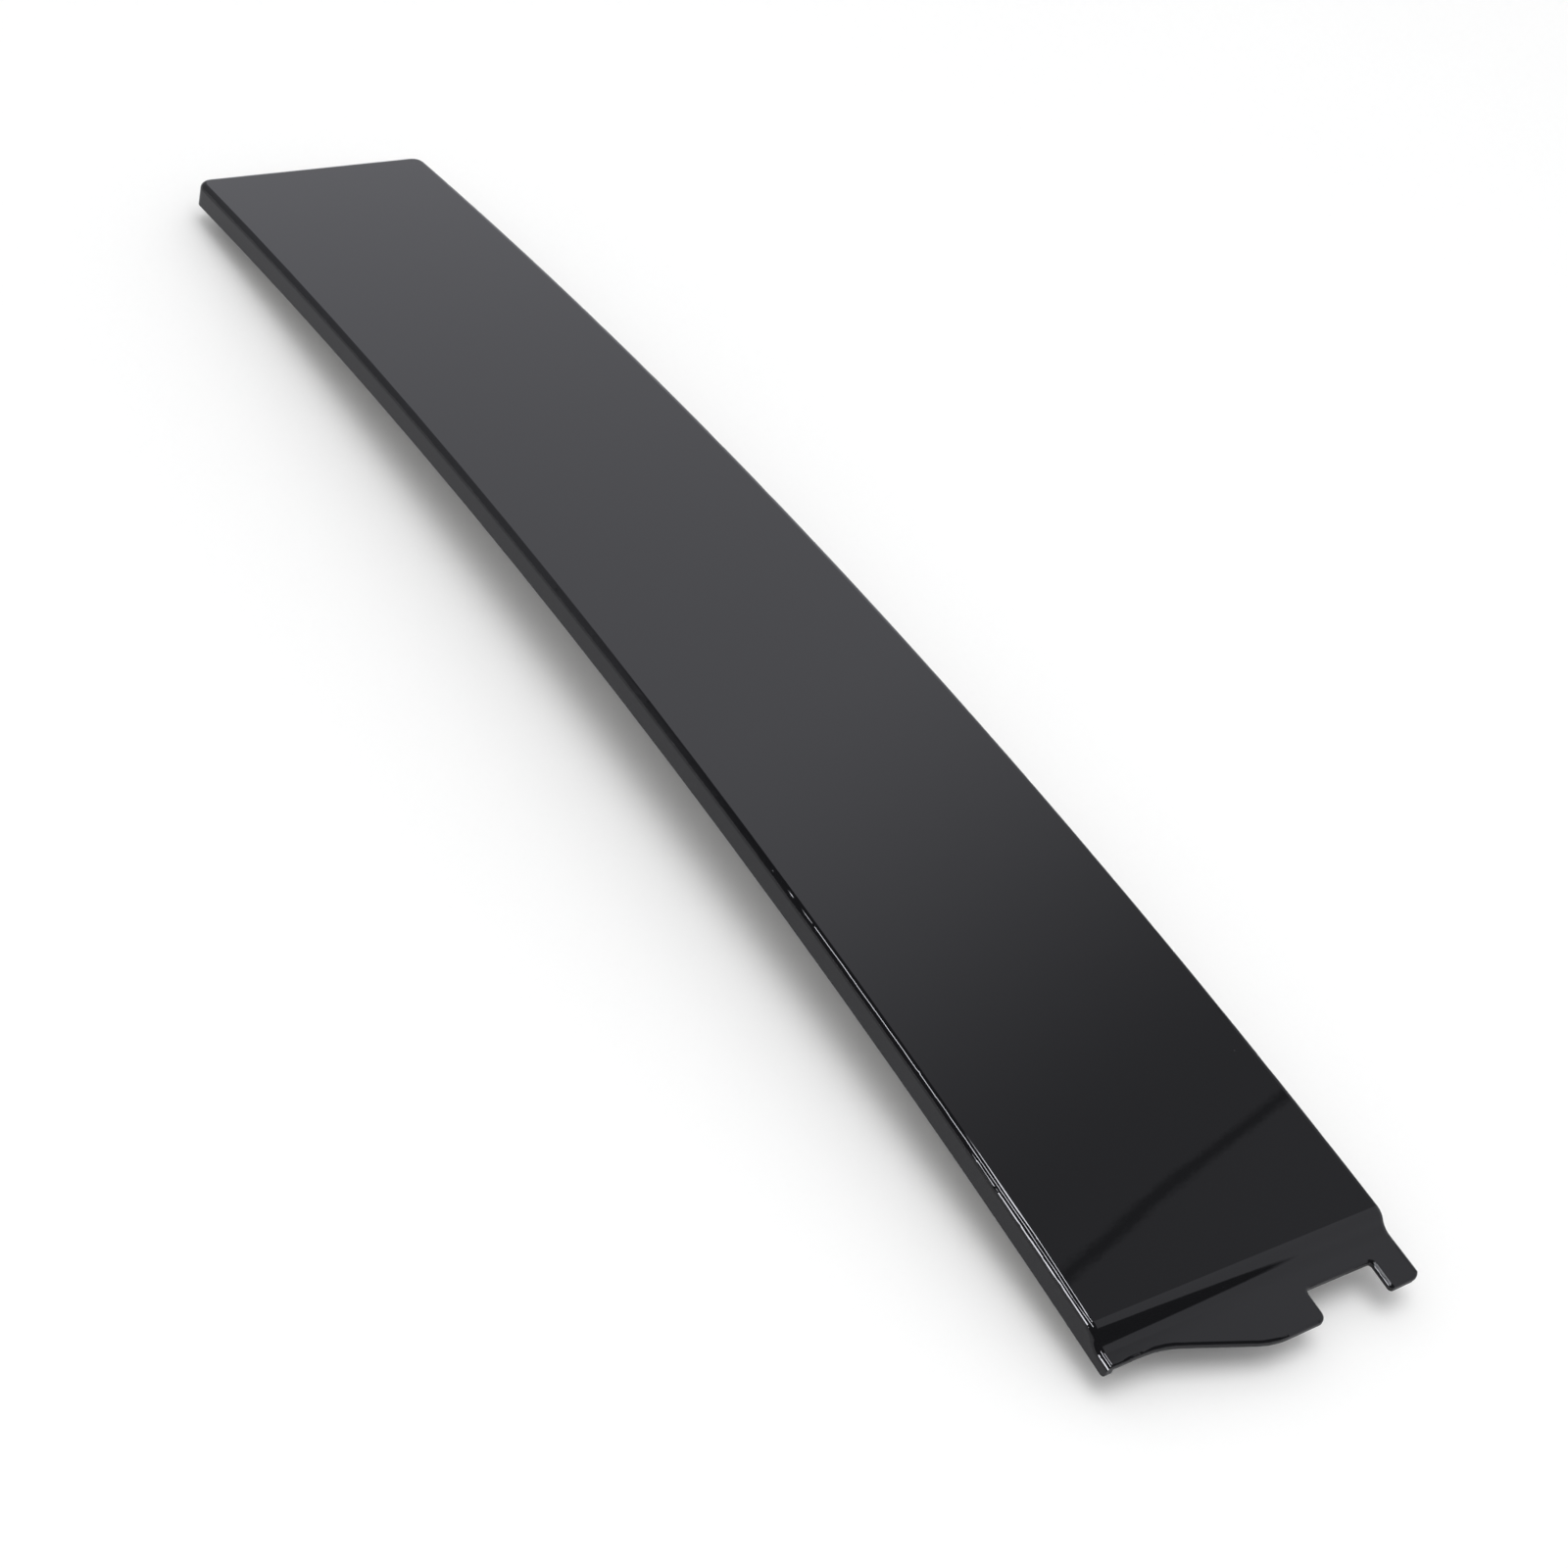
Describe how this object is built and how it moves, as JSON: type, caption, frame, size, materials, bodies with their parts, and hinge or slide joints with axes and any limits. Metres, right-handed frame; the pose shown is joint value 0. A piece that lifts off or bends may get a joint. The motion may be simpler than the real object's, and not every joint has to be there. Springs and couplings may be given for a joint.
{
  "type": "door pillar trim plate",
  "caption": "Long bowed gloss door pillar cover with a rolled return, slanted head and joggled, notched tongue, backed by push clips, foam seals, tape and liners.",
  "frame": {"origin": "middle of the whole part's outline on the plane that it rests on, under the lowest clip tips", "axes": "+X along the cover from the tongue to the head, +Y across it towards the deep return on its shut side, +Z out of its face"},
  "size_m": [0.5024, 0.0944, 0.03],
  "materials": {
    "gloss_black": "high-gloss moulded-in black, mirror smooth outside, fine matt tool texture on the back",
    "clip_nylon": "natural nylon, satin, slightly translucent at thin legs",
    "seal_foam": "closed-cell foam ring, matt",
    "tape_foam": "acrylic foam tape, dull grey-black",
    "liner_film": "thin pale silicone-coated release film, slight sheen",
    "pad_foam": "open-cell polyurethane foam, matt"
  },
  "bodies": {
    "cover": {"cover_panel": "gloss_black", "shut_side_tape": "tape_foam", "glass_side_tape": "tape_foam", "head_tape": "tape_foam", "lower_foam_block": "pad_foam", "upper_foam_block": "pad_foam", "tongue_foam": "pad_foam"},
    "clip_1": {"push_clip_1": "clip_nylon", "clip_seal_1": "seal_foam"},
    "clip_2": {"push_clip_2": "clip_nylon", "clip_seal_2": "seal_foam"},
    "clip_3": {"push_clip_3": "clip_nylon", "clip_seal_3": "seal_foam"},
    "clip_4": {"push_clip_4": "clip_nylon", "clip_seal_4": "seal_foam"},
    "clip_5": {"push_clip_5": "clip_nylon", "clip_seal_5": "seal_foam"},
    "shut_side_liner_body": {"shut_side_liner": "liner_film"},
    "glass_side_liner_body": {"glass_side_liner": "liner_film"},
    "head_liner_body": {"head_liner": "liner_film"}
  },
  "joints": [
    {"name": "clip_1_slide", "type": "slide", "parent": "cover", "child": "clip_1", "axis": [0, -1, 0], "range_m": [-0.0004, 0.0165]},
    {"name": "clip_2_slide", "type": "slide", "parent": "cover", "child": "clip_2", "axis": [0, -1, 0], "range_m": [-0.0004, 0.0165]},
    {"name": "clip_3_slide", "type": "slide", "parent": "cover", "child": "clip_3", "axis": [0, -1, 0], "range_m": [-0.0004, 0.0165]},
    {"name": "clip_4_slide", "type": "slide", "parent": "cover", "child": "clip_4", "axis": [0, -1, 0], "range_m": [-0.0004, 0.0165]},
    {"name": "clip_5_slide", "type": "slide", "parent": "cover", "child": "clip_5", "axis": [0, -1, 0], "range_m": [-0.0004, 0.0165]},
    {"name": "shut_side_liner_off", "type": "slide", "parent": "cover", "child": "shut_side_liner_body", "axis": [0, 0, -1], "range_m": [0, 0.03]},
    {"name": "glass_side_liner_off", "type": "slide", "parent": "cover", "child": "glass_side_liner_body", "axis": [0, 0, -1], "range_m": [0, 0.03]},
    {"name": "head_liner_off", "type": "slide", "parent": "cover", "child": "head_liner_body", "axis": [0, 0, -1], "range_m": [0, 0.03]}
  ]
}
